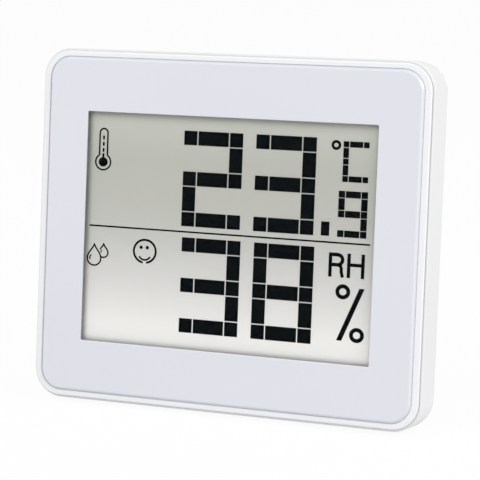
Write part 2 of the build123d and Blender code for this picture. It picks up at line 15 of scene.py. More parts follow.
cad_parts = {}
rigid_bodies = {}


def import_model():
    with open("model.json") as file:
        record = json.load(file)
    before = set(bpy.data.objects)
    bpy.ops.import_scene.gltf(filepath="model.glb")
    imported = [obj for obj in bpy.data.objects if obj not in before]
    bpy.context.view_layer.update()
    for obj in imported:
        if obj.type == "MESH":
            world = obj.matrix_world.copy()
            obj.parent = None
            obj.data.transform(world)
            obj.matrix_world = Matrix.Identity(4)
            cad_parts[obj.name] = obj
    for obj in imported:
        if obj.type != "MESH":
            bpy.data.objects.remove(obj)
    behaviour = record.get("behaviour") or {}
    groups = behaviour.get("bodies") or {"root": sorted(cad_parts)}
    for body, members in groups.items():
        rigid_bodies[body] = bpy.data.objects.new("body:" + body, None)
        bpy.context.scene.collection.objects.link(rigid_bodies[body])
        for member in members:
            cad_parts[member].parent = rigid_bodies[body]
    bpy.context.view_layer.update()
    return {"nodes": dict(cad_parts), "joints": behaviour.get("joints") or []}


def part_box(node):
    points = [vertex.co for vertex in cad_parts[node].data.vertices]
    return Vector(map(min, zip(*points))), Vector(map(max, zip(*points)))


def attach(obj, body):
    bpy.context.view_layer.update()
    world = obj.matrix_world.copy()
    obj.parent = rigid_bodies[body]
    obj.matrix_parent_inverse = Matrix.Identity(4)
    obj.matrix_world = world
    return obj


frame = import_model()
MM = 0.001

# %% [markdown]
# The housing leans back, so its front and its rear aren't upright planes. The way a key is pressed
# is square to the rear, which gives the lean without a second copy of the number. From it come
# three directions that everything flat is drawn in: across, up the front, and out of it.

# %% Directions of the leaning housing
press = next(j for j in frame["joints"] if j["name"] == "unit_press")
out_front = Vector(press["axis"]).normalized()
across = Vector((1, 0, 0))
up_front = out_front.cross(across).normalized()
lean = math.degrees(math.asin(up_front.y))
print("the housing leans back by", round(lean, 2), "degrees")


def face_frame(point, right, up, out):
    """Matrix that takes a drawing's right, up and out to places in the model."""
    matrix = Matrix((right, up, out)).transposed().to_4x4()
    matrix.translation = point
    return matrix


def reach(node, direction):
    """Lowest and highest place of a node along a direction."""
    places = [v.co.dot(direction) for v in frame["nodes"][node].data.vertices]
    return min(places), max(places)


def middle(node, direction):
    """Middle of a node along a direction."""
    return sum(reach(node, direction)) / 2


def span_of(node, direction):
    """Size of a node along a direction, in millimetres."""
    low, high = reach(node, direction)
    return (high - low) / MM


def on_face(node, right, up, out):
    """Drawing plane on the outermost face of a node, about the node's middle."""
    point = right * middle(node, right) + up * middle(node, up) + out * reach(node, out)[1]
    return face_frame(point, right, up, out)


display_face = on_face("lcd_front_polarizer", across, up_front, out_front)
door_face = on_face("battery_door", -across, up_front, -out_front)
print("the display's middle is", [round(c, 4) for c in display_face.translation])

# %% [markdown]
# Shader maths reads best as plain sums. Link wraps the output of a shader node, so that
# 0.3 + 0.2 * noise makes the two Math nodes by itself. Shader holds a tree and makes any of its
# nodes in one call. Finish is the shader of one material.

# %% Shader helpers


class Link:
    """Output of a shader node, written like a number."""

    def __init__(self, shader, socket):
        self.shader = shader
        self.socket = socket

    def __add__(self, other):
        return self.shader.maths("ADD", self, other)

    def __radd__(self, other):
        return self.shader.maths("ADD", other, self)

    def __sub__(self, other):
        return self.shader.maths("SUBTRACT", self, other)

    def __rsub__(self, other):
        return self.shader.maths("SUBTRACT", other, self)

    def __mul__(self, other):
        return self.shader.maths("MULTIPLY", self, other)

    def __rmul__(self, other):
        return self.shader.maths("MULTIPLY", other, self)

    def __abs__(self):
        return self.shader.maths("ABSOLUTE", self, 0)


class Shader:
    """The nodes of one shader tree."""

    def __init__(self, tree):
        self.tree = tree
        tree.nodes.clear()

    def node(self, kind, settings=None, inputs=None, output=0):
        """Any node, from its type, its settings and the values or links of its sockets."""
        made = self.tree.nodes.new(kind)
        for key, value in (settings or {}).items():
            if key == "stops":
                self.set_stops(made.color_ramp, value)
            else:
                setattr(made, key, value)
        for key, value in (inputs or {}).items():
            if isinstance(value, Link):
                self.tree.links.new(value.socket, made.inputs[key])
            else:
                made.inputs[key].default_value = value
        return Link(self, made.outputs[output]) if len(made.outputs) else made

    def maths(self, operation, first, second, clamp=False):
        """Math node of two values or links."""
        settings = {"operation": operation, "use_clamp": clamp}
        return self.node("ShaderNodeMath", settings, {0: first, 1: second})

    def set_stops(self, ramp, stops):
        """Give a colour ramp its positions and colours."""
        while len(ramp.elements) < len(stops):
            ramp.elements.new(0.5)
        for element, (position, colour) in zip(ramp.elements, stops):
            element.position = position
            element.color = (*colour, 1)


class Finish(Shader):
    """A procedural material on Object coordinates."""

    def __init__(self, name):
        self.material = bpy.data.materials.new(name)
        self.material.use_nodes = True
        super().__init__(self.material.node_tree)
        self.place = self.node("ShaderNodeTexCoord", output="Object")

    def clamped(self, value):
        """Value kept between 0 and 1."""
        return self.maths("ADD", value, 0, clamp=True)

    def noise(self, size, detail=2.0, roughness=0.5, stretch=(1, 1, 1)):
        """Noise whose blotches are about size metres across."""
        place = self.node("ShaderNodeMapping", {}, {"Vector": self.place, "Scale": stretch}, "Vector")
        inputs = {"Vector": place, "Scale": 1 / size, "Detail": detail, "Roughness": roughness}
        return self.node("ShaderNodeTexNoise", {}, inputs, "Fac")

    def mix(self, factor, first, second):
        """Colour between two colours."""
        return self.node("ShaderNodeMix", {"data_type": "RGBA"}, {0: factor, 6: first, 7: second}, 2)

    def bump(self, height, distance, strength=1.0):
        """Normal of a surface with this relief."""
        inputs = {"Height": height, "Distance": distance, "Strength": strength}
        return self.node("ShaderNodeBump", {}, inputs, "Normal")

    def surface(self, **inputs):
        """Principled surface; the names are the sockets' names with underscores for spaces."""
        sockets = {key.replace("_", " "): value for key, value in inputs.items()}
        return self.node("ShaderNodeBsdfPrincipled", {}, sockets, "BSDF")

    def output(self, shader):
        """The finished material, with this shader on its surface."""
        self.node("ShaderNodeOutputMaterial", {}, {"Surface": shader})
        return self.material


# %% [markdown]
# Three whites meet in the photo: those of the rear shell, the rim and the front plate. The shell, the
# leg, the door and the keys are satin ABS with the fine grain of a spark-eroded mould. The rim is the
# same plastic, polished. Both vary a little in tone and in gloss, as moulded parts do, and only a
# close view shows the grain.

# %% White plastics
CLOUD_SHADE = 0.975
CLOUD_GLOSS, GRAIN_GLOSS = 0.06, 0.05


def white_plastic(name, tone, gloss, grain, grain_height):
    """Moulded white plastic: tone is its colour, gloss its mean roughness, grain the mould's texture."""
    finish = Finish(name)
    cloud = finish.noise(size=0.03)
    speck = finish.noise(size=grain, detail=3, roughness=0.6)
    darker = tuple(c * CLOUD_SHADE for c in tone)
    shader = finish.surface(
        Base_Color=finish.mix(cloud, (*darker, 1), (*tone, 1)),
        Roughness=gloss + CLOUD_GLOSS * (cloud - 0.5) + GRAIN_GLOSS * (speck - 0.5),
        Normal=finish.bump(speck, distance=grain_height),
        Specular_IOR_Level=0.5,
    )
    return finish.output(shader)


shell_white = white_plastic(
    "shell_white", tone=(0.8, 0.803, 0.805), gloss=0.42, grain=0.0004, grain_height=0.000012
)
rim_white = white_plastic(
    "rim_white", tone=(0.88, 0.885, 0.905), gloss=0.22, grain=0.0015, grain_height=0.000004
)
print("plastics:", shell_white.name, rim_white.name)

# %% [markdown]
# The front plate is glossier and a touch cooler and darker than the rim: a clear sheet with white
# printed on its back. A coat over a smooth base gives the two layers, and the faint waviness of a
# moulded sheet bends what it mirrors.

# %% Front plate


def front_plate():
    """Clear sheet with white printed on its back."""
    finish = Finish("front_plate")
    cloud = finish.noise(size=0.05, detail=1)
    wave = finish.noise(size=0.02, detail=1)
    darker = (0.716, 0.727, 0.786, 1)
    lighter = (0.746, 0.757, 0.812, 1)
    shader = finish.surface(
        Base_Color=finish.mix(cloud, darker, lighter),
        Roughness=0.3 + 0.08 * cloud,
        Normal=finish.bump(wave, distance=0.00002, strength=0.4),
        Coat_Weight=0.6,
        Coat_Roughness=0.06,
    )
    return finish.output(shader)


plate_finish = front_plate()
print("the front plate has", len(plate_finish.node_tree.nodes), "shader nodes")

# %% [markdown]
# The pane only has to reflect a little and let the rest through. Real refraction would bend the
# light that should reach the display, so the pane mixes a clear shader with a mirror. The mirror's
# share grows with the fifth power of the slant. The Fresnel node would do the same in front, but at
# the back face it would mirror everything at a steep angle, and hide the display from above.

# %% Clear pane
HEAD_ON_SHARE = 0.002


def clear_pane():
    """Clear shader with a mirror whose share grows with the slant."""
    finish = Finish("clear_pane")
    wave = finish.noise(size=0.03, detail=1)
    clear = finish.node("ShaderNodeBsdfTransparent", {}, {"Color": (0.995, 0.995, 0.993, 1)})
    inputs = {"Roughness": 0.05, "Normal": finish.bump(wave, distance=0.00001, strength=0.3)}
    mirror = finish.node("ShaderNodeBsdfGlossy", {}, inputs)
    slant = finish.node("ShaderNodeLayerWeight", {}, {"Blend": 0.5}, "Facing")
    square = slant * slant
    share = HEAD_ON_SHARE + square * square * slant
    shader = finish.node("ShaderNodeMixShader", {}, {0: share, 1: clear, 2: mirror})
    return finish.output(shader)


pane_finish = clear_pane()
print("the pane has", len(pane_finish.node_tree.nodes), "shader nodes")

# %% [markdown]
# The ground of the display is a reflective film. Its colour holds a painted reflection: a ramp up the
# film paints it warm grey at the top, fading to a near white at the bottom. Towards the window's
# edges it is darkened with painted shade, the shade of the recess round the window. The distance
# from the edges makes that mask, and the film has a fine tooth.

# %% Display film
LENS_OVERLAP = 1.0
# Width in millimetres and strength of the painted shade at the window's edges.
EDGE_SHADE_WIDTH = 1.6
EDGE_SHADE_SHARE = 0.5
window = [span_of("window_lens", direction) - 2 * LENS_OVERLAP for direction in (across, up_front)]


def height_on(finish, low, high):
    """0 to 1 from one place to another along the lean of the front."""
    settings = {"operation": "DOT_PRODUCT"}
    along = finish.node("ShaderNodeVectorMath", settings, {0: finish.place, 1: up_front}, "Value")
    inputs = {"Value": along, "From Min": low, "From Max": high}
    return finish.node("ShaderNodeMapRange", {"clamp": True}, inputs, "Result")


def grey(level, warmth=0.0):
    """Linear grey from an 8-bit level: a warm one has less blue, and leans to green, not to red."""
    linear = ((level / 255 + 0.055) / 1.055) ** 2.4
    green = 1 + (warmth - 0.55) * 0.03
    blue = 1 - warmth * 0.09
    return linear, linear * green, linear * blue


def painted_edge_shade(finish, right_mm, up_mm):
    """Mask of the painted shade: 1 at the window's edges, falling to 0 within a narrow margin."""
    shade_mask = 0
    for distance, size in ((up_mm, window[1]), (right_mm, window[0])):
        depth = finish.clamped((abs(distance) - (size / 2 - EDGE_SHADE_WIDTH)) * (1 / EDGE_SHADE_WIDTH))
        shade_mask = depth * depth + shade_mask
    return finish.clamped(shade_mask)


def display_film():
    """Film with a painted reflection, warm grey at the top to near white below, and painted edge shade."""
    finish = Finish("display_film")
    low, high = reach("lcd_front_polarizer", up_front)
    height = height_on(finish, low, high)
    # The ramp paints a reflection: warm grey at the top of the film, near white at the bottom.
    stops = [
        (0.0, grey(247, 0.3)), (0.1, grey(245, 0.3)), (0.18, grey(235, 0.3)), (0.3, grey(221, 0.3)),
        (0.45, grey(205, 0.5)), (0.6, grey(195, 0.8)), (0.8, grey(191, 0.9)), (1.0, grey(203, 0.9)),
    ]
    ramp = finish.node("ShaderNodeValToRGB", {"stops": stops}, {"Fac": height}, "Color")
    x = finish.node("ShaderNodeSeparateXYZ", {}, {"Vector": finish.place}, "X")
    right_mm = (x - middle("lcd_front_polarizer", across)) * (1 / MM)
    span = (high - low) / MM
    # Painted shade: the film is darkened towards the window's edges, where the recess shades it.
    shade_mask = painted_edge_shade(finish, right_mm, height * span - span / 2)
    painted_shade_tone = (0.16, 0.16, 0.15, 1)
    tooth = finish.noise(size=0.00015)
    shader = finish.surface(
        Base_Color=finish.mix(shade_mask * EDGE_SHADE_SHARE, ramp, painted_shade_tone),
        Roughness=0.55 + 0.1 * tooth,
        Normal=finish.bump(tooth, distance=0.000003),
        Specular_IOR_Level=0.3,
    )
    return finish.output(shader)


film_finish = display_film()
print("the window is", [round(size, 2) for size in window], "mm")

# %% [markdown]
# The marks are nearly black where the crystal is switched on. They aren't ink, so they are dull,
# and a trace of blue keeps them from looking printed.

# %% Marks, metal, rubber and the pieces behind the vents


def plain_finish(name, tone, gloss, size, metal=0.0, spread=0.25, shine=0.5):
    """Surface whose tone and gloss wander: tone is its colour and size the size of the blotches."""
    finish = Finish(name)
    cloud = finish.noise(size, detail=3)
    darker = tuple(c * (1 - spread) for c in tone)
    shader = finish.surface(
        Base_Color=finish.mix(cloud, (*darker, 1), (*tone, 1)),
        Roughness=gloss + 0.15 * (cloud - 0.5),
        Metallic=metal,
        Normal=finish.bump(cloud, distance=0.00001),
        Specular_IOR_Level=shine,
    )
    return finish.output(shader)


segment_black = plain_finish("segment_black", (0.0042, 0.0056, 0.0068), gloss=0.6, size=0.004, shine=0.0)
screw_steel = plain_finish("screw_steel", (0.62, 0.61, 0.59), gloss=0.32, size=0.0008, metal=1.0)
spring_nickel = plain_finish("spring_nickel", (0.72, 0.7, 0.66), gloss=0.25, size=0.002, metal=1.0)
board_green = plain_finish("board_green", (0.03, 0.16, 0.07), gloss=0.35, size=0.003)
black_resin = plain_finish("black_resin", (0.012, 0.012, 0.013), gloss=0.25, size=0.002)
sensor_case = plain_finish("sensor_case", (0.75, 0.75, 0.72), gloss=0.5, size=0.001, spread=0.1)
switch_case = plain_finish("switch_case", (0.02, 0.02, 0.022), gloss=0.5, size=0.001)
strip_rubber = plain_finish("strip_rubber", (0.18, 0.17, 0.16), gloss=0.7, size=0.001)
chip_ceramic = plain_finish("chip_ceramic", (0.3, 0.24, 0.17), gloss=0.6, size=0.0008)
foam_tape = plain_finish("foam_tape", (0.6, 0.6, 0.57), gloss=0.8, size=0.0006)
display_glass = plain_finish("display_glass", (0.55, 0.6, 0.58), gloss=0.1, size=0.01, spread=0.05)
silver_film = plain_finish("silver_film", (0.6, 0.6, 0.58), gloss=0.4, size=0.001, spread=0.05)
print("materials so far:", len(bpy.data.materials))

# %% [markdown]
# The cell has a plain jacket with a band at its raised end, and bare steel on both ends. The bands
# follow the cell's own length, so they are a ramp across X with hard steps.

# %% Cell jacket


def cell_jacket():
    """Dark jacket with a pale band, and bare steel at both ends."""
    finish = Finish("cell_jacket")
    low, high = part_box("battery_cell")
    length = high.x - low.x
    x = finish.node("ShaderNodeSeparateXYZ", {}, {"Vector": finish.place}, "X")
    inputs = {"Value": x, "From Min": low.x, "From Max": high.x}
    along = finish.node("ShaderNodeMapRange", {"clamp": True}, inputs, "Result")
    steel, jacket, band_tone = (0.6, 0.59, 0.57), (0.07, 0.1, 0.13), (0.62, 0.64, 0.66)
    bare_foot, bare_top = 0.3 * MM, 1.6 * MM
    band_low, band_high = 14 * MM, 12 * MM
    stops = [
        (0.0, steel), (bare_foot / length, jacket), (1 - band_low / length, band_tone),
        (1 - band_high / length, jacket), (1 - bare_top / length, steel),
    ]
    ramp = finish.node("ShaderNodeValToRGB", {"stops": stops}, {"Fac": along})
    ramp.socket.node.color_ramp.interpolation = "CONSTANT"
    scuff = finish.noise(size=0.002, detail=3, stretch=(0.2, 1, 1))
    shader = finish.surface(
        Base_Color=ramp,
        Roughness=0.28 + 0.1 * scuff,
        Metallic=0.6,
        Normal=finish.bump(scuff, distance=0.000005),
    )
    return finish.output(shader)


jacket_finish = cell_jacket()
print("the cell's jacket has", len(jacket_finish.node_tree.nodes), "shader nodes")

# %% [markdown]
# Each solid of the model now gets its finish. Only the material slots change, never the mesh.

# %% Dress the solids
finishes = {
    shell_white: ("rear_cover", "stand_leg", "battery_door", "button_unit", "button_memory"),
    rim_white: ("front_bezel",),
    plate_finish: ("fascia_panel",),
    pane_finish: ("window_lens",),
    film_finish: ("lcd_front_polarizer",),
    display_glass: ("lcd_front_glass", "lcd_rear_glass"),
    silver_film: ("lcd_reflector",),
    foam_tape: ("fascia_adhesive",),
    strip_rubber: ("zebra_connector",),
    board_green: ("pcb",),
    black_resin: ("chip_blob", "thermistor"),
    chip_ceramic: ("smd_parts",),
    sensor_case: ("humidity_sensor",),
    switch_case: ("switch_bodies", "switch_plunger_unit", "switch_plunger_memory"),
    screw_steel: ("case_screws", "pcb_screws", "clock_crystal"),
    spring_nickel: ("negative_contact", "positive_contact"),
    jacket_finish: ("battery_cell",),
}
for material, names in finishes.items():
    for name in names:
        mesh = frame["nodes"][name].data
        mesh.materials.clear()
        mesh.materials.append(material)
bare = set(frame["nodes"]) - {name for names in finishes.values() for name in names}
print("solids without a finish:", sorted(bare))

# %% [markdown]
# The large figures are cells on a lattice of three columns and five rows: square cells at the even
# columns and rows, and longer bars between them. That is a rule, so a node tree makes them. It
# places fifteen points, scales a cube at each, and keeps the cells whose bit is set in one number.

# %% Node tree for one figure


def group_input(tree, name, kind, default):
    """Identifier of a new named input."""
    socket = tree.interface.new_socket(name, in_out="INPUT", socket_type=kind)
    if default is not None:
        socket.default_value = default
    return socket.identifier


class Tree:
    """A geometry node tree with named inputs, and nodes made in one call."""

    def __init__(self, name, inputs):
        self.tree = bpy.data.node_groups.new(name, "GeometryNodeTree")
        self.ids = {n: group_input(self.tree, n, kind, default) for n, (kind, default) in inputs.items()}
        self.tree.interface.new_socket("Geometry", in_out="OUTPUT", socket_type="NodeSocketGeometry")
        self.given = self.tree.nodes.new("NodeGroupInput")

    def input(self, name):
        """Socket of one of the tree's inputs."""
        return self.given.outputs[name]

    def node(self, kind, settings=None, inputs=None, output=0):
        """Any node, from its type, its settings and the values or links of its sockets."""
        made = self.tree.nodes.new(kind)
        for key, value in (settings or {}).items():
            setattr(made, key, value)
        for key, value in (inputs or {}).items():
            if isinstance(value, bpy.types.NodeSocket):
                self.tree.links.new(value, made.inputs[key])
            else:
                made.inputs[key].default_value = value
        return made.outputs[output] if len(made.outputs) else made

    def maths(self, operation, first, second):
        """Math node of two values or links."""
        return self.node("ShaderNodeMath", {"operation": operation}, {0: first, 1: second})

    def vector(self, x, y, z):
        """Vector from three values or links."""
        return self.node("ShaderNodeCombineXYZ", {}, {0: x, 1: y, 2: z})

    def bars(self, points, scale, selection=True):
        """Cubes on points, scaled, made real, and given the tree's material."""
        cube = self.node("GeometryNodeMeshCube", {}, {"Size": (1, 1, 1)}, "Mesh")
        inputs = {"Points": points, "Selection": selection, "Instance": cube, "Scale": scale}
        placed = self.node("GeometryNodeInstanceOnPoints", {}, inputs)
        real = self.node("GeometryNodeRealizeInstances", {}, {"Geometry": placed})
        inputs = {"Geometry": real, "Material": self.input("Material")}
        dressed = self.node("GeometryNodeSetMaterial", {}, inputs)
        self.node("NodeGroupOutput", {}, {0: dressed})


FLOAT = "NodeSocketFloat"
COLUMNS, ROWS = 3, 5
ALL_CELLS = 2 ** (COLUMNS * ROWS) - 1


def figure_tree():
    """Tree that makes one segment figure."""
    tree = Tree("segment_figure", {
        "Column Pitch": (FLOAT, 6 * MM), "Row Pitch": (FLOAT, 5 * MM), "Stroke": (FLOAT, 3 * MM),
        "Gap Across": (FLOAT, 0.4 * MM), "Gap Up": (FLOAT, 0.3 * MM), "Ink": (FLOAT, 0.04 * MM),
        "Lit Cells": ("NodeSocketInt", ALL_CELLS), "Material": ("NodeSocketMaterial", None),
    })
    index = tree.node("GeometryNodeInputIndex")
    column = tree.maths("MODULO", index, COLUMNS)
    row = tree.maths("FLOOR", tree.maths("DIVIDE", index, COLUMNS), 0)
    x = tree.maths("MULTIPLY", column, tree.input("Column Pitch"))
    y = tree.maths("MULTIPLY", row, tree.maths("MULTIPLY", tree.input("Row Pitch"), -1))
    inputs = {"Count": COLUMNS * ROWS, "Position": tree.vector(x, y, 0)}
    points = tree.node("GeometryNodePoints", {}, inputs)

    def length(number, pitch, gap):
        """Stroke on even columns or rows, and the length of a bar on odd ones."""
        odd = tree.maths("MODULO", number, 2)
        joined = tree.maths("ADD", tree.input("Stroke"), tree.input(gap))
        spare = tree.maths("SUBTRACT", tree.input(pitch), joined)
        longer = tree.maths("MULTIPLY", odd, tree.maths("MULTIPLY", spare, 2))
        return tree.maths("ADD", tree.input("Stroke"), longer)

    across_length = length(column, "Column Pitch", "Gap Across")
    up_length = length(row, "Row Pitch", "Gap Up")
    scale = tree.vector(across_length, up_length, tree.input("Ink"))
    power = tree.maths("POWER", 2, index)
    shifted = tree.maths("FLOOR", tree.maths("DIVIDE", tree.input("Lit Cells"), power), 0)
    bit = tree.maths("MODULO", shifted, 2)
    lit = tree.node("FunctionNodeCompare", {"operation": "GREATER_THAN"}, {0: bit, 1: 0.5})
    tree.bars(points, scale, lit)
    return tree


figures = figure_tree()
print("the figure tree has", len(figures.tree.nodes), "nodes")

# %% [markdown]
# A figure's pattern is written as five rows of three, as it looks. The evaluated result of the tree
# becomes a plain mesh, and the pieces of one drawing are then joined and carried to the display.

# %% Figures on the display


def grown(tree, values, material):
    """Plain mesh that a tree makes with these inputs."""
    holder = bpy.data.objects.new("holder", bpy.data.meshes.new("holder"))
    bpy.context.scene.collection.objects.link(holder)
    modifier = holder.modifiers.new("tree", "NODES")
    modifier.node_group = tree.tree
    for name, value in {**values, "Material": material}.items():
        modifier[tree.ids[name]] = value
    graph = bpy.context.evaluated_depsgraph_get()
    mesh = bpy.data.meshes.new_from_object(holder.evaluated_get(graph))
    bpy.data.objects.remove(holder)
    return mesh


def piece(name, parts, matrix, material, body):
    """One object from meshes drawn flat, carried to the model by a matrix and riding on a body."""
    joined = bmesh.new()
    for mesh, shift in parts:
        mesh.transform(Matrix.Translation(Vector((*shift, 0)) * MM))
        joined.from_mesh(mesh)
    mesh = bpy.data.meshes.new(name)
    joined.to_mesh(mesh)
    joined.free()
    mesh.transform(matrix)
    mesh.materials.clear()
    mesh.materials.append(material)
    made = bpy.data.objects.new(name, mesh)
    bpy.context.scene.collection.objects.link(made)
    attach(made, body)
    print(name, "has", len(mesh.polygons), "faces")


def cells(*rows):
    """Number whose bits are the lit cells, read from rows of three marks."""
    return sum(1 << i for i, mark in enumerate("".join(rows)) if mark == "#")


patterns = {
    "2": cells("###", "..#", "###", "#..", "###"),
    "3": cells("###", "..#", "###", "..#", "###"),
    "8": cells("###", "#.#", "###", "#.#", "###"),
    "9": cells("###", "#.#", "###", "..#", "###"),
    "C": cells("###", "#..", "#..", "#..", "###"),
}
INK = 0.04
large = {"Column Pitch": 6.0, "Row Pitch": 4.907, "Stroke": 3.43, "Gap Across": 0.3, "Gap Up": 0.25}
tenths = {"Column Pitch": 2.845, "Row Pitch": 2.315, "Stroke": 1.58, "Gap Across": 0.17, "Gap Up": 0.14}
degrees = {"Column Pitch": 2.515, "Row Pitch": 2.035, "Stroke": 1.38, "Gap Across": 0.2, "Gap Up": 0.16}
figure_places = [
    ("2", large, (-10.58, 22.87)),
    ("3", large, (8.285, 22.87)),
    ("3", large, (-10.203, -2.898)),
    ("8", large, (8.738, -2.898)),
    ("9", tenths, (28.81, 11.61)),
    ("C", degrees, (29.42, 23.35)),
]
parts = []
for sign, sizes, place in figure_places:
    values = {name: size * MM for name, size in sizes.items()}
    values["Ink"] = 2 * INK * MM
    values["Lit Cells"] = patterns[sign]
    parts.append((grown(figures, values, segment_black), place))
piece("display_figures", parts, display_face, segment_black, "housing")

# %% [markdown]
# The small signs are pen strokes, closed bands and plates, which no lattice gives. Each is a
# flat outline with a little height. Coordinates are in millimetres from the display's middle.

# %% Strokes, bands and plates


def prism(outline, low, high):
    """Solid with a flat outline, between two heights, in millimetres."""
    mesh = bpy.data.meshes.new("prism")
    count = len(outline)
    points = [(x * MM, y * MM, level * MM) for level in (low, high) for x, y in outline]
    sides = [(i, (i + 1) % count, count + (i + 1) % count, count + i) for i in range(count)]
    mesh.from_pydata(points, [], [tuple(range(count - 1, -1, -1)), tuple(range(count, 2 * count)), *sides])
    return outward(mesh)


def outward(mesh):
    """The same mesh with its faces turned outwards."""
    work = bmesh.new()
    work.from_mesh(mesh)
    bmesh.ops.recalc_face_normals(work, faces=work.faces)
    work.to_mesh(mesh)
    work.free()
    return mesh


def arc(centre, radii, start, end, steps=24):
    """Points on an ellipse between two angles in degrees."""
    angles = [math.radians(start + (end - start) * i / steps) for i in range(steps + 1)]
    return [(centre[0] + radii[0] * math.cos(a), centre[1] + radii[1] * math.sin(a)) for a in angles]


def normals(path, closed):
    """Unit normals to the left of each point of a path."""
    found = []
    for i in range(len(path)):
        before = path[i - 1] if i or closed else path[i]
        after = path[(i + 1) % len(path)] if i + 1 < len(path) or closed else path[i]
        run = Vector(after) - Vector(before)
        found.append(Vector((-run.y, run.x)).normalized())
    return found


def stroke(path, width, low=-INK, high=INK, cap=6):
    """Pen stroke along an open path, with round ends, or with square ones for a cap of 1."""
    half = width / 2
    sides = normals(path, False)
    left = [Vector(p) + n * half for p, n in zip(path, sides)]
    right = [Vector(p) - n * half for p, n in zip(path, sides)]

    def turn(centre, normal, sign):
        angle = math.atan2(normal.y * sign, normal.x * sign)
        steps = [angle - math.pi * i / cap for i in range(1, cap)]
        return [Vector((centre[0] + half * math.cos(a), centre[1] + half * math.sin(a))) for a in steps]

    outline = left + turn(path[-1], sides[-1], 1) + right[::-1] + turn(path[0], sides[0], -1)
    return prism([tuple(p) for p in outline], low, high)


def band(path, width, low=-INK, high=INK):
    """Closed band along a closed path."""
    half = width / 2
    count = len(path)
    sides = normals(path, True)
    mesh = bpy.data.meshes.new("band")
    points = []
    for level in (low, high):
        for offset in (half, -half):
            for p, n in zip(path, sides):
                x, y = p[0] + offset * n.x, p[1] + offset * n.y
                points.append((x * MM, y * MM, level * MM))
    low_left, low_right, high_left, high_right = (k * count for k in range(4))
    faces = []
    for i in range(count):
        j = (i + 1) % count
        faces.append((high_left + i, high_left + j, high_right + j, high_right + i))
        faces.append((low_left + i, low_right + i, low_right + j, low_left + j))
        faces.append((low_left + i, low_left + j, high_left + j, high_left + i))
        faces.append((low_right + i, high_right + i, high_right + j, low_right + j))
    mesh.from_pydata(points, [], faces)
    return outward(mesh)


RING_SIDES, DISC_SIDES = 40, 24


def around(centre, radii, sides):
    """Points all the way round an ellipse."""
    return arc(centre, radii, 0, 360 - 360 / sides, sides - 1)


def ring(centre, radii, width):
    """Round band."""
    return band(around(centre, radii, RING_SIDES), width)


def disc(centre, radii):
    """Filled circle."""
    return prism(around(centre, radii, DISC_SIDES), -INK, INK)


def plate(left, right, low, high):
    """Filled rectangle."""
    return prism([(left, low), (right, low), (right, high), (left, high)], -INK, INK)


# %% [markdown]
# Now the signs themselves: the thermometer, the drops and the face that says how pleasant the air
# is, the letters for relative humidity, the percent sign, the degree ring, the decimal point and the
# line between the two readings. Round signs on this display are a little wider than they are high.

# %% Signs on the display
WIDE, TALL = 1.03, 0.973


def round_radii(radius):
    """Radii of a round sign, a little wider than high."""
    return radius * WIDE, radius * TALL


def thermometer():
    """Tube and bulb in outline, with a filled heart, a short column and three marks in the tube."""
    x, bulb, tube_top = -33.96, 15.88, 22.98
    tube_half, bulb_radius, heart_radius, line = 1.07, 1.98, 1.2, 0.4
    column_half, column_top = 0.27, 18.0
    mark_half, mark_height, mark_places = 0.24, 0.96, (18.33, 19.83, 21.36)
    radii = round_radii(bulb_radius)
    open_angle = math.degrees(math.acos(tube_half / radii[0]))
    outline = arc((x, bulb), radii, 180 - open_angle, 360 + open_angle, 40)
    outline += arc((x, tube_top), (tube_half, tube_half), 0, 180, 16)
    drawn = [
        band(outline, line),
        disc((x, bulb), round_radii(heart_radius)),
        plate(x - column_half, x + column_half, bulb, column_top),
    ]
    for low in mark_places:
        drawn.append(plate(x - mark_half, x + mark_half, low, low + mark_height))
    return drawn


def swung(points, steps=8):
    """Points on the cubic curve of four control points, without the first."""
    found = []
    for i in range(1, steps + 1):
        t = i / steps
        weights = ((1 - t) ** 3, 3 * t * (1 - t) ** 2, 3 * t * t * (1 - t), t**3)
        found.append(tuple(sum(w * p[k] for w, p in zip(weights, points)) for k in (0, 1)))
    return found


def drop_side(tip, centre, radii):
    """Right side of a drop, from its tip to where its round belly starts."""
    neck_out, neck_down = 0.1, 0.3
    waist_out, waist_up = 0.8, 0.95
    belly_out, belly_up = 0.94, 0.34
    neck = (tip[0] + radii[0] * neck_out, tip[1] - (tip[1] - centre[1]) * neck_down)
    waist = (centre[0] + radii[0] * waist_out, centre[1] + radii[1] * waist_up)
    belly = (centre[0] + radii[0] * belly_out, centre[1] + radii[1] * belly_up)
    return swung([tip, neck, waist, belly])


def mirrored(path, x):
    """The same path on the other side of an upright line, run the other way."""
    return [(2 * x - p[0], p[1]) for p in reversed(path)]


def drops():
    """A large drop and a small one half behind it, each with a glint."""
    line, glint_line, small_glint_line = 0.37, 0.32, 0.28
    belly_start, hidden_from, left_points = 14, -112, 6
    tip, centre, radii = (-35.54, -4.3), (-35.54, -7.9), round_radii(1.8)
    side = drop_side(tip, centre, radii)
    belly = arc(centre, radii, belly_start, -180 - belly_start, 24)
    glint = arc((-35.5, -7.9), (1.2, 1.15), 190, 140, 5)
    small_tip, small_centre, small_radii = (-33.0, -4.2), (-33.0, -6.42), round_radii(1.18)
    small_side = drop_side(small_tip, small_centre, small_radii)
    small_belly = arc(small_centre, small_radii, belly_start, hidden_from, 14)
    small_left = mirrored(small_side[:left_points], small_centre[0])[::-1]
    small_glint = arc((-32.95, -6.3), (0.75, 0.7), 185, 140, 4)
    return [
        band([tip, *side, *belly, *mirrored(side, centre[0])], line),
        stroke([small_tip, *small_side, *small_belly], line),
        stroke([small_tip, *small_left], line),
        stroke(glint, glint_line),
        stroke(small_glint, small_glint_line),
    ]


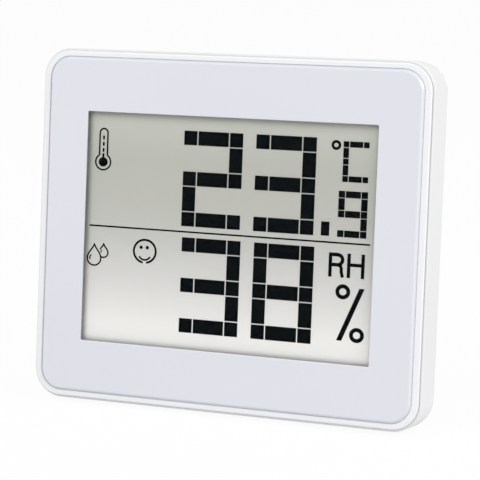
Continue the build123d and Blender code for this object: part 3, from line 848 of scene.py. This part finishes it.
def comfort_face():
    """Smiling face in a ring that is open at the chin."""
    centre, radii, chin_gap, line = (-21.77, -5.3), round_radii(2.87), 13, 0.52
    left_eye, right_eye, eye_radii = (-22.79, -4.38), (-21.13, -4.37), (0.43, 0.43)
    mouth_centre, mouth_radii, mouth_line = (centre[0], -5.72), (1.7, 1.68), 0.42
    return [
        stroke(arc(centre, radii, 270 + chin_gap, 630 - chin_gap, 48), line),
        disc(left_eye, eye_radii),
        disc(right_eye, eye_radii),
        stroke(arc(mouth_centre, mouth_radii, 216, 324, 14), mouth_line),
    ]


def square_stroke(path, width):
    """Pen stroke with square ends."""
    return stroke(path, width, cap=1)


def letters():
    """The two letters for relative humidity."""
    top, low, pen = -2.62, -7.5, 0.84
    edge, thin_pen = pen / 2, pen - 0.05
    stem, waist, bowl_start, bowl_reach = 26.62, -5.02, 28.4, 1.28
    bowl = [(stem, top), (bowl_start, top)]
    bowl += arc((bowl_start, (top + waist) / 2), (bowl_reach, (top - waist) / 2), 90, -90, 12)
    bowl.append((stem, waist))
    knee = arc((28.45, waist - 0.95), (0.98, 0.95), 75, 5, 6)
    leg = [(28.5, waist), *knee, (29.45, -6.7), (29.8, low - edge)]
    left, right, bar = 31.27, 34.79, -4.85
    return [
        square_stroke([(stem, top + edge), (stem, low - edge)], pen),
        square_stroke(bowl, pen),
        square_stroke(leg, thin_pen),
        square_stroke([(left, top + edge), (left, low - edge)], pen),
        square_stroke([(right, top + edge), (right, low - edge)], pen),
        square_stroke([(left, bar), (right, bar)], thin_pen),
    ]


def percent():
    """Two rings and a slash."""
    outer, inner = 1.81, 0.87
    radii, width = round_radii((outer + inner) / 2), outer - inner
    upper, lower = (30.06, -11.27), (33.93, -21.27)
    slash = [(28.87, -22.8), (30.16, -22.8), (35.45, -10.26), (34.17, -10.26)]
    return [ring(upper, radii, width), ring(lower, radii, width), prism(slash, -INK, INK)]


degree_ring = ring((26.9, 23.05), round_radii(0.865), 0.65)
decimal_point = plate(23.9, 26.0, 1.62, 4.95)
dividing_line = plate(-37.1, 36.3, -0.04, 0.35)
signs = [
    *thermometer(), *drops(), *comfort_face(), *letters(), *percent(),
    degree_ring, decimal_point, dividing_line,
]
sign_parts = [(mesh, (0, 0)) for mesh in signs]
piece("display_signs", sign_parts, display_face, segment_black, "housing")

# %% [markdown]
# Two fine lines run round the front. The plate sits in the rim with a hairline joint, whose bottom is
# pale plastic close below the surface. The rim and the rear shell part in a deeper groove, and a
# dark blue-grey ring at its bottom is painted shade that darkens it. A slim ring lies in each, with a
# little play, and takes its length and width from the solids beside it.

# %% Lines round the front


def rounded(width, height, corner):
    """Closed outline of a rounded rectangle about the middle."""
    x, y = width / 2 - corner, height / 2 - corner
    path = []
    for turn, (cx, cy) in enumerate(((x, y), (-x, y), (-x, -y), (x, -y))):
        path += arc((cx, cy), (corner, corner), 90 * turn, 90 * turn + 90, 12)
    return path


rim_face = on_face("front_bezel", across, up_front, out_front)
plate_size = span_of("fascia_panel", across), span_of("fascia_panel", up_front)
rim_size = span_of("front_bezel", across), span_of("front_bezel", up_front)
PLATE_CORNER, PLATE_GAP, PLATE_PLAY = 5.4, 0.1, 0.01
JOINT_LOW, JOINT_HIGH = -0.6, -0.04
RIM_CORNER, RIM_HEIGHT = 6.6, 0.5
GROOVE, GROOVE_PLAY = 0.3, 0.02
GROOVE_SHADE_INSET, GROOVE_SHADE_WIDTH = 0.25, 0.2
joint_path = rounded(*(size + PLATE_GAP for size in plate_size), PLATE_CORNER + PLATE_GAP / 2)
joint = band(joint_path, PLATE_GAP - PLATE_PLAY, JOINT_LOW, JOINT_HIGH)
piece("plate_joint", [(joint, (0, 0))], rim_face, rim_white, "housing")
# A dark ring paints shade at the bottom of the groove between the rim and the rear shell.
seam_grey = plain_finish("seam_grey", (0.13, 0.14, 0.19), gloss=0.6, size=0.003)
groove_shade_path = rounded(*(size - 2 * GROOVE_SHADE_INSET for size in rim_size), RIM_CORNER - GROOVE_SHADE_INSET)
groove_shade_low, groove_shade_high = -RIM_HEIGHT - GROOVE + GROOVE_PLAY, -RIM_HEIGHT - GROOVE_PLAY
groove_shade = band(groove_shade_path, GROOVE_SHADE_WIDTH, groove_shade_low, groove_shade_high)
piece("painted_groove_shade", [(groove_shade, (0, 0))], rim_face, seam_grey, "housing")

# %% [markdown]
# The battery door has a few low ribs under its springy tongue, for the thumb. Equal ribs at an equal
# pitch are again a rule, so a second, smaller tree makes them from a count, a pitch and a size.

# %% Grip ribs on the battery door


def ribs_tree():
    """Tree that makes a column of equal ribs."""
    tree = Tree("grip_ribs", {
        "Count": ("NodeSocketInt", 3), "Pitch": (FLOAT, 1.4 * MM), "Width": (FLOAT, 9 * MM),
        "Thickness": (FLOAT, 0.6 * MM), "Height": (FLOAT, 0.5 * MM), "Lift": (FLOAT, 0.05 * MM),
        "Material": ("NodeSocketMaterial", None),
    })
    index = tree.node("GeometryNodeInputIndex")
    down = tree.maths("MULTIPLY", index, tree.maths("MULTIPLY", tree.input("Pitch"), -1))
    place = tree.vector(0, down, tree.input("Lift"))
    points = tree.node("GeometryNodePoints", {}, {"Count": tree.input("Count"), "Position": place})
    tree.bars(points, tree.vector(tree.input("Width"), tree.input("Thickness"), tree.input("Height")))
    return tree


FIRST_RIB = 6.0
rib_sizes = {"Pitch": 1.4, "Width": 9.0, "Thickness": 0.6, "Height": 0.5, "Lift": 0.05}
rib_values = {name: size * MM for name, size in rib_sizes.items()}
rib_values["Count"] = 3
door_top = (reach("battery_door", up_front)[1] - middle("battery_door", up_front)) / MM
ribs = grown(ribs_tree(), rib_values, shell_white)
piece("door_grip", [(ribs, (0, door_top - FIRST_RIB))], door_face, shell_white, "door")

# %% [markdown]
# The photo has a white background. The floor and the world show white to the camera and in
# reflections, while what lights the object stays at a plain level. The floor mixes its real
# colour with that white, so that the object's shadow stays on it, but light.

# %% Floor and world
WHITE_SHARE = 0.94
AMBIENT = 0.62


def seen_directly(shader):
    """1 for camera, mirror and see-through rays, 0 for light that bounces."""
    seen = shader.node("ShaderNodeLightPath", output="Is Camera Ray")
    for ray in ("Is Glossy Ray", "Is Transmission Ray"):
        seen = shader.maths("MAXIMUM", seen, shader.node("ShaderNodeLightPath", output=ray))
    return seen


def pale_floor():
    """Pale matt floor, mixed with white where it is seen directly."""
    finish = Finish("pale_floor")
    real = finish.node("ShaderNodeBsdfDiffuse", {}, {"Color": (0.88, 0.88, 0.88, 1)})
    white = finish.node("ShaderNodeEmission", {}, {"Strength": 1.0})
    share = seen_directly(finish) * WHITE_SHARE
    return finish.output(finish.node("ShaderNodeMixShader", {}, {0: share, 1: real, 2: white}))


def make_floor(half_size=4.0):
    """Large square under the object."""
    corners = [(x * half_size, y * half_size, 0) for x, y in ((-1, -1), (1, -1), (1, 1), (-1, 1))]
    mesh = bpy.data.meshes.new("floor")
    mesh.from_pydata(corners, [], [(0, 1, 2, 3)])
    mesh.materials.append(pale_floor())
    floor = bpy.data.objects.new("floor", mesh)
    bpy.context.scene.collection.objects.link(floor)


def make_world():
    """White surroundings, which light the object at the ambient level."""
    world = bpy.data.worlds.new("studio")
    bpy.context.scene.world = world
    world.use_nodes = True
    shader = Shader(world.node_tree)
    inputs = {"Value": seen_directly(shader), "To Min": AMBIENT, "To Max": 1.0}
    strength = shader.node("ShaderNodeMapRange", {}, inputs, "Result")
    white = (1, 1, 1, 1)
    background = shader.node("ShaderNodeBackground", {}, {"Color": white, "Strength": strength})
    shader.node("ShaderNodeOutputWorld", {}, {"Surface": background})


make_floor()
make_world()
print("ambient light:", AMBIENT)

# %% [markdown]
# Two large soft lamps light the object: one high in front, a little to the left, and one from the
# right. They are big, so that the shadows in the window are soft.

# %% Lamps


def soft_lamp(name, place, aim, size, power):
    """Square lamp turned towards a point: size in metres, power in watts."""
    data = bpy.data.lights.new(name, "AREA")
    data.shape = "SQUARE"
    data.size = size
    data.energy = power
    lamp = bpy.data.objects.new(name, data)
    lamp.location = place
    lamp.rotation_euler = (Vector(aim) - Vector(place)).to_track_quat("-Z", "Y").to_euler()
    bpy.context.scene.collection.objects.link(lamp)
    print(name, "has", power, "W")


target = (0, 0, 0.045)
soft_lamp("key_lamp", (-0.35, -0.95, 1.1), target, size=0.8, power=6.0)
soft_lamp("side_lamp", (1.15, -0.25, 0.75), target, size=0.9, power=7.6)

# %% [markdown]
# The camera stands to the right of the front and a little above it, far enough away that the
# housing narrows only a little towards its far side. A small shift frames it as in the photo.

# %% Camera
PICTURE_HEIGHT, SHIFT_DOWN = 480, 25
camera_data = bpy.data.cameras.new("camera")
camera_data.sensor_width = 36
camera_data.lens = 165
camera_data.shift_y = -SHIFT_DOWN / PICTURE_HEIGHT
camera_data.clip_start = 0.01
camera = bpy.data.objects.new("camera", camera_data)
camera.location = (0.20963, -0.48736, 0.13108)
azimuth, elevation = 23.45, 9.0
camera.rotation_euler = (math.radians(90 - elevation), 0, math.radians(azimuth))
bpy.context.scene.collection.objects.link(camera)
bpy.context.scene.camera = camera
bpy.context.scene.view_settings.view_transform = "Standard"
print("the camera is", round(camera.location.length, 2), "m from the object")
